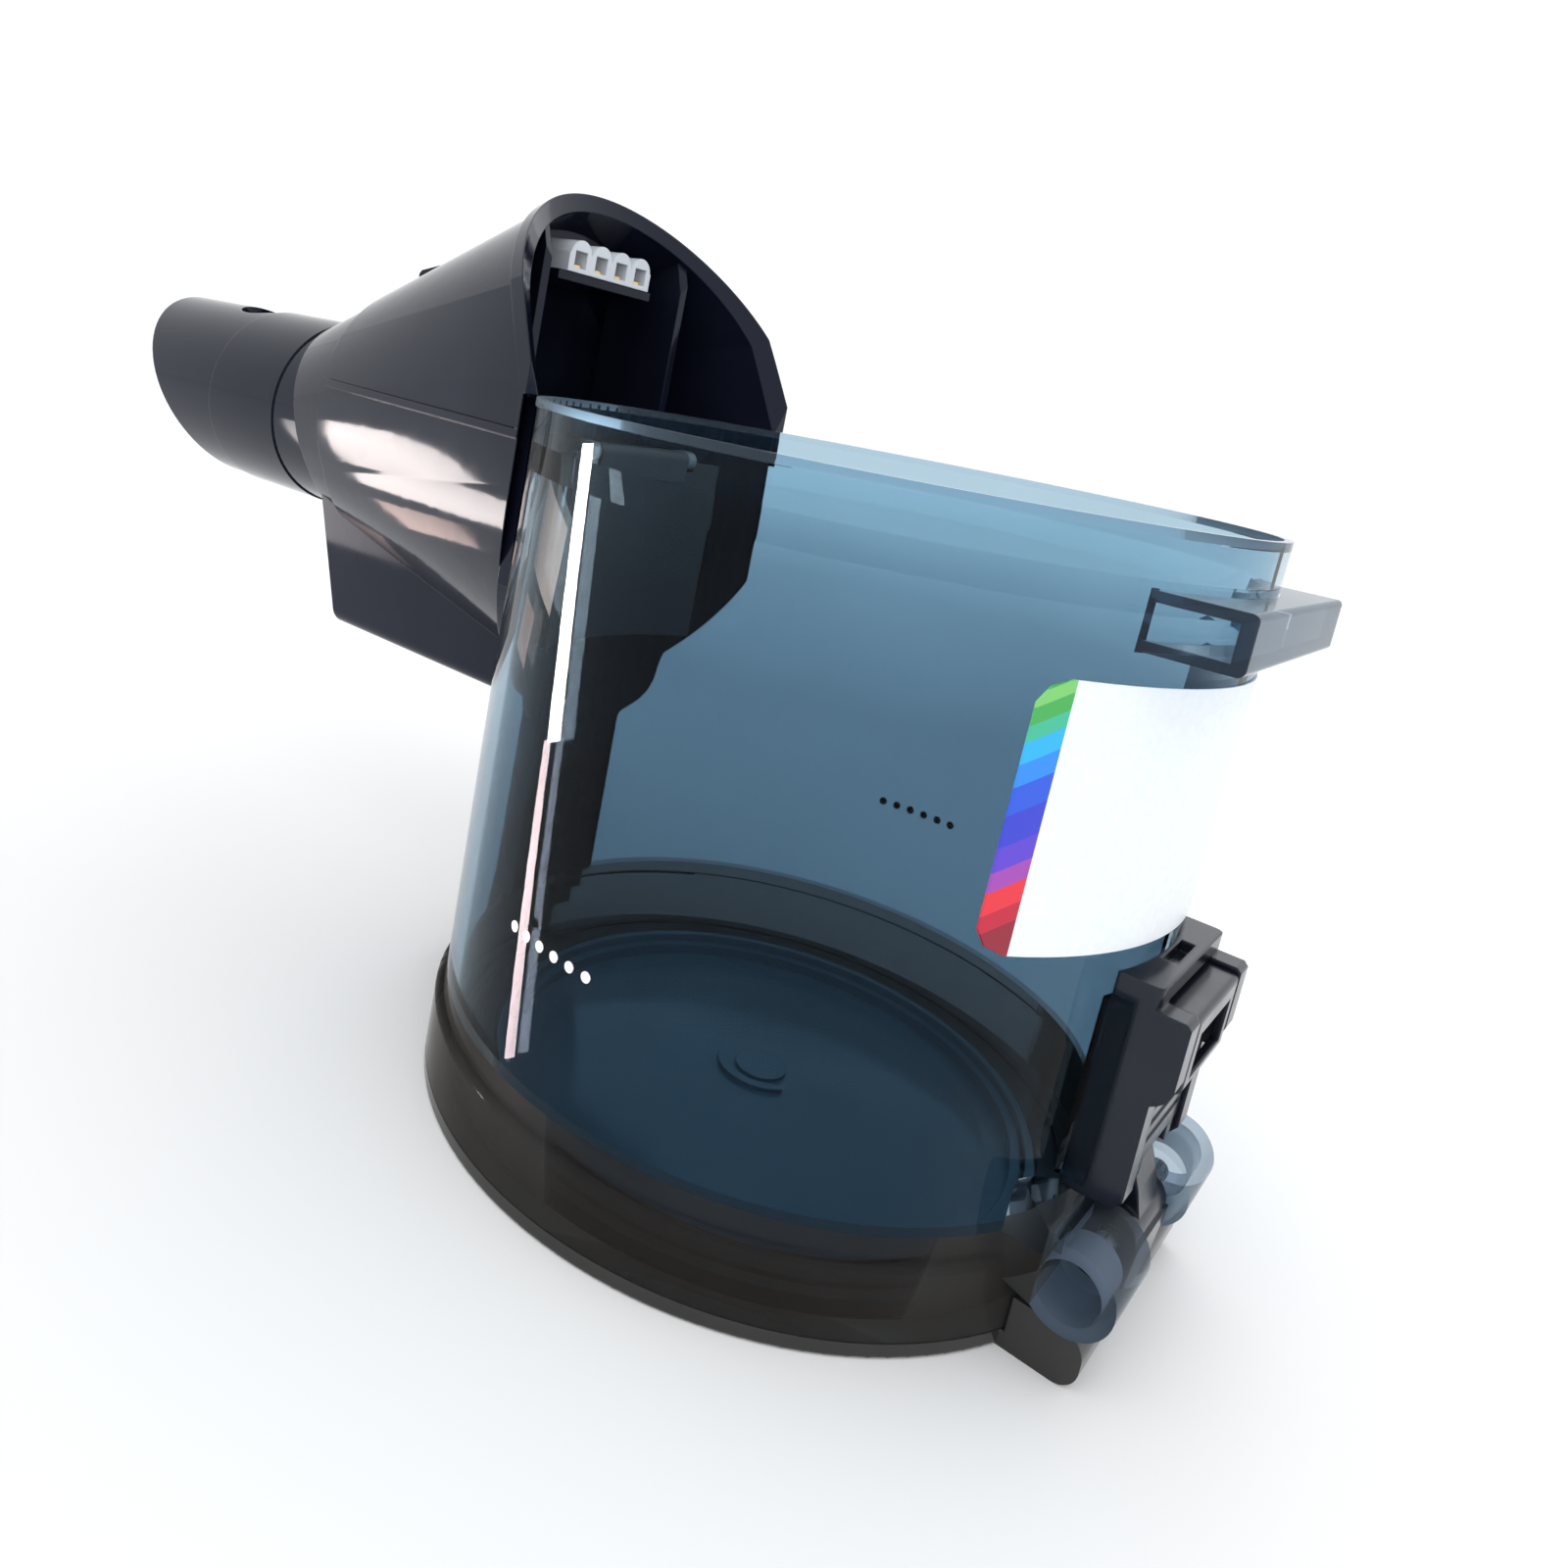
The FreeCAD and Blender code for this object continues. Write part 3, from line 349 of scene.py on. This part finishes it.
white = plastic("connector_white", (0.62, 0.66, 0.72), (0.78, 0.8, 0.84), rough=(0.12, 0.25), grain=900.0,
                spec=0.6)
steel = metal("screw_steel", (0.55, 0.56, 0.58), 0.25)
brass = metal("contact_plating", (0.75, 0.56, 0.28), 0.22)
label_foot, label_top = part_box("rear_label")
label = label_print("label_film", label_foot.z, label_top.z)
marks = mark_print("level_print")

give(smoke, "cup_shell")
give(lid_smoke, "bottom_lid")
give(gloss_black, "inlet_duct", "hood_cover", "saddle_plate")
give(latch_black, "latch_housing", "release_slider", "lid_catch")
give(grey, "flap_hinge", "terminal_socket")
give(rubber, "lid_seal", "inlet_gasket")
give(flap_soft, "inlet_flap")
give(white, "connector_block")
give(steel, "lid_hinge_pin", "hood_screws", "strip_screws", "housing_screws", "slider_spring", "catch_pin")
give(brass, "connector_contacts", "terminal_pins")
give(label, "rear_label")
give(marks, "level_marks")


# Floor and world

def floor_material():
    t = Tree("pale_floor")
    p = t.node("BsdfPrincipled", Roughness=0.6, Specular_IOR_Level=0.2)
    t.join(t.ramp(t.noise(6.0, 3.0), [(0.3, (0.93, 0.93, 0.935)), (0.7, (0.95, 0.95, 0.95))]), p.inputs["Base Color"])
    return t.surface(p)


def disc(name, radius, mat, rings=24, steps=96):
    """A round floor, finer towards its middle."""
    verts = [(0.0, 0.0, 0.0)]
    for j in range(1, rings + 1):
        r = radius * (j / rings) ** 2.5
        for k in range(steps):
            turn = 2 * math.pi * k / steps
            verts.append((r * math.cos(turn), r * math.sin(turn), 0.0))
    faces = [(0, 1 + k, 1 + (k + 1) % steps) for k in range(steps)]
    for j in range(rings - 1):
        for k in range(steps):
            a = 1 + j * steps + k
            b = 1 + j * steps + (k + 1) % steps
            faces.append((a, a + steps, b + steps, b))
    mesh = bpy.data.meshes.new(name)
    mesh.from_pydata(verts, [], faces)
    mesh.update()
    mesh.materials.append(mat)
    piece = bpy.data.objects.new(name, mesh)
    bpy.context.collection.objects.link(piece)
    return piece


disc("studio_floor", 30.0, floor_material())

world = bpy.data.worlds.new("studio")
world.use_nodes = True
bpy.context.scene.world = world
background = world.node_tree.nodes["Background"]
background.inputs["Color"].default_value = (0.98, 0.99, 1.0, 1)
background.inputs["Strength"].default_value = 1.1


# Lamps

def lamp(name, place, target, size, power, colour=WHITE, spread=180.0, lean=0.0):
    """A flat lamp that faces its target. spread is the angle it shines into, and lean turns it, in degrees."""
    data = bpy.data.lights.new(name, "AREA")
    data.shape = "RECTANGLE"
    data.size, data.size_y = size
    data.energy = power
    data.color = colour
    data.spread = math.radians(spread)
    ob = bpy.data.objects.new(name, data)
    ob.location = place
    ob.rotation_mode = "QUATERNION"
    turn = (Vector(target) - Vector(place)).to_track_quat("-Z", "Y")
    ob.rotation_quaternion = turn @ Quaternion((0.0, 0.0, 1.0), math.radians(lean))
    bpy.context.collection.objects.link(ob)


middle = (-0.04, 0.0, 0.07)
lamp("key", (0.3, -1.1, 1.6), middle, (1.8, 1.4), 6.0)
lamp("back", (-0.5, 1.0, 0.9), middle, (1.2, 0.8), 2.0, (0.92, 0.96, 1.0))

# Two slim upright lamps beside the cup, for the line of light down its wall.
wall_x, wall_y = -0.0105, -0.0525
lamp("streak_top", (-0.035, -0.0604, 0.077), (wall_x, wall_y, 0.082), (0.0040, 0.044), 0.008,
     (1.0, 0.96, 0.95), spread=60.0, lean=6.0)
lamp("streak_low", (-0.035, -0.0634, 0.029), (wall_x, wall_y, 0.041), (0.0030, 0.048), 0.0026,
     (1.0, 0.80, 0.83), spread=60.0, lean=6.0)

# Two small lamps beside the duct, for the glow on its underside.
lamp("belly_glow", (-0.150, -0.058, 0.065), (-0.075, -0.032, 0.085), (0.046, 0.022), 0.0034,
     (1.0, 0.88, 0.82), spread=50.0, lean=-13.0)
lamp("belly_blush", (-0.150, -0.040, 0.044), (-0.075, -0.030, 0.080), (0.022, 0.014), 0.0004,
     (1.0, 0.72, 0.62), spread=50.0, lean=-13.0)


# Camera

SIDE = 1600            # the photograph's width and height, in pixels
FOCAL = 1204.8         # in the same pixels
SENSOR = 36.0
DISTANCE = 0.18122
AIM = Vector((-0.02705, -0.02114, 0.0780))

azimuth, elevation, roll = math.radians(38.0), 0.17303, 0.18418
back = Vector((math.sin(azimuth) * math.cos(elevation), -math.cos(azimuth) * math.cos(elevation),
               math.sin(elevation)))
level_right = Vector((math.cos(azimuth), math.sin(azimuth), 0.0))
level_up = back.cross(level_right)
right = level_right * math.cos(roll) + level_up * math.sin(roll)
up = level_up * math.cos(roll) - level_right * math.sin(roll)

lens = bpy.data.cameras.new("camera")
lens.sensor_width = SENSOR
lens.lens = FOCAL / SIDE * SENSOR
lens.shift_x = 0.09375
lens.shift_y = -0.125
lens.clip_start = 0.01
lens.clip_end = 50.0
camera = bpy.data.objects.new("camera", lens)
bpy.context.collection.objects.link(camera)
bpy.context.scene.camera = camera
camera.matrix_world = Matrix.Translation(AIM + back * DISTANCE) @ Matrix((right, up, back)).transposed().to_4x4()

bpy.context.scene.view_settings.view_transform = "Standard"
